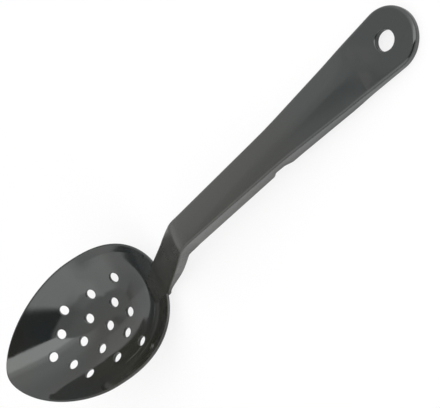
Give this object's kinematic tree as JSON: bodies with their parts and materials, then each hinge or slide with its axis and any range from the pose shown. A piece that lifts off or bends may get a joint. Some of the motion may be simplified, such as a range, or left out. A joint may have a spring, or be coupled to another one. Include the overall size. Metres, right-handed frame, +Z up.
{
  "type": "perforated serving spoon",
  "caption": "Moulded serving spoon with a deep oval perforated bowl, a steep offset neck and a hollow-backed handle that flares to a round hang end.",
  "frame": {"origin": "middle of the footprint of the resting spoon, on the table that its bowl and the tip of its handle stand on", "axes": "+X from the tip of the bowl to the hang end, +Y to the left when facing along +X, +Z up"},
  "size_m": [0.2752, 0.0696, 0.0537],
  "materials": {
    "dark_plastic": "polished moulded polycarbonate, solid charcoal black with a soft gloss and fine handling marks"
  },
  "bodies": {
    "root": {"bowl": "dark_plastic", "bowl_rim": "dark_plastic", "neck_root": "dark_plastic", "neck_deck": "dark_plastic", "neck_wall_left": "dark_plastic", "neck_wall_right": "dark_plastic", "handle_deck": "dark_plastic", "handle_wall_left": "dark_plastic", "handle_wall_right": "dark_plastic", "hang_end": "dark_plastic"}
  },
  "joints": []
}
